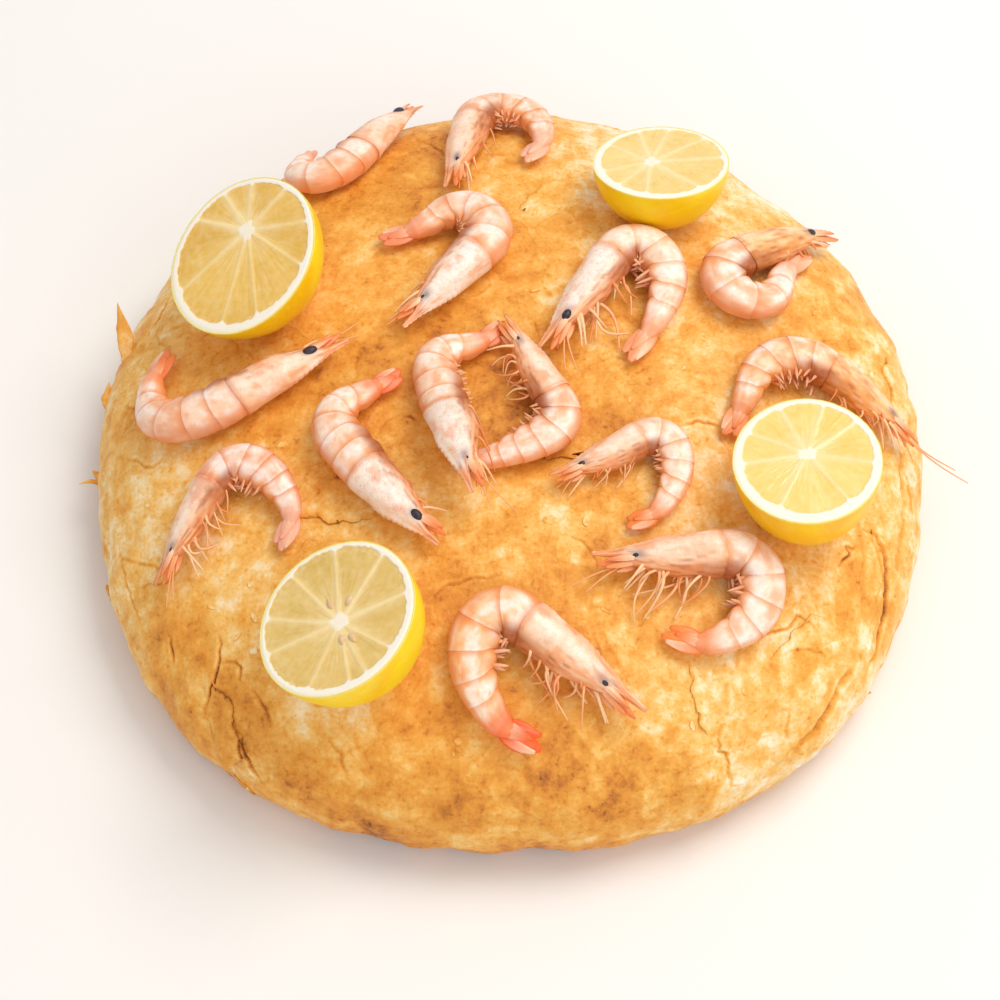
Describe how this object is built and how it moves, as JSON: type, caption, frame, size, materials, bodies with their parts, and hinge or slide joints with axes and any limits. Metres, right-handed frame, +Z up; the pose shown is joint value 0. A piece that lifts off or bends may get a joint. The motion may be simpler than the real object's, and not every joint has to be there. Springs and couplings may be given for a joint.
{
  "type": "fish pastilla",
  "caption": "Large round savoury pie of thin browned pastry sheets, domed and uneven, topped with whole cooked shrimps and thick cut lemon pieces.",
  "frame": {"origin": "middle of the flat underside that the pie rests on", "axes": "+Z up through the crown, -Y towards the side that the picture is taken from, +X to the right in it"},
  "size_m": [0.3204, 0.3215, 0.101],
  "materials": {
    "crust": "dry flaky browned pastry",
    "shrimp": "moist cooked shell",
    "lemon": "waxy rind with a wet cut face"
  },
  "bodies": {
    "root": {"pastilla_crust": "crust", "shrimp_01": "shrimp", "shrimp_02": "shrimp", "shrimp_03": "shrimp", "shrimp_04": "shrimp", "shrimp_05": "shrimp", "shrimp_06": "shrimp", "shrimp_07": "shrimp", "shrimp_08": "shrimp", "shrimp_09": "shrimp", "shrimp_10": "shrimp", "shrimp_11": "shrimp", "shrimp_12": "shrimp", "shrimp_13": "shrimp", "shrimp_14": "shrimp", "lemon_piece_1": "lemon", "lemon_piece_2": "lemon", "lemon_piece_3": "lemon", "lemon_piece_4": "lemon"}
  },
  "joints": []
}
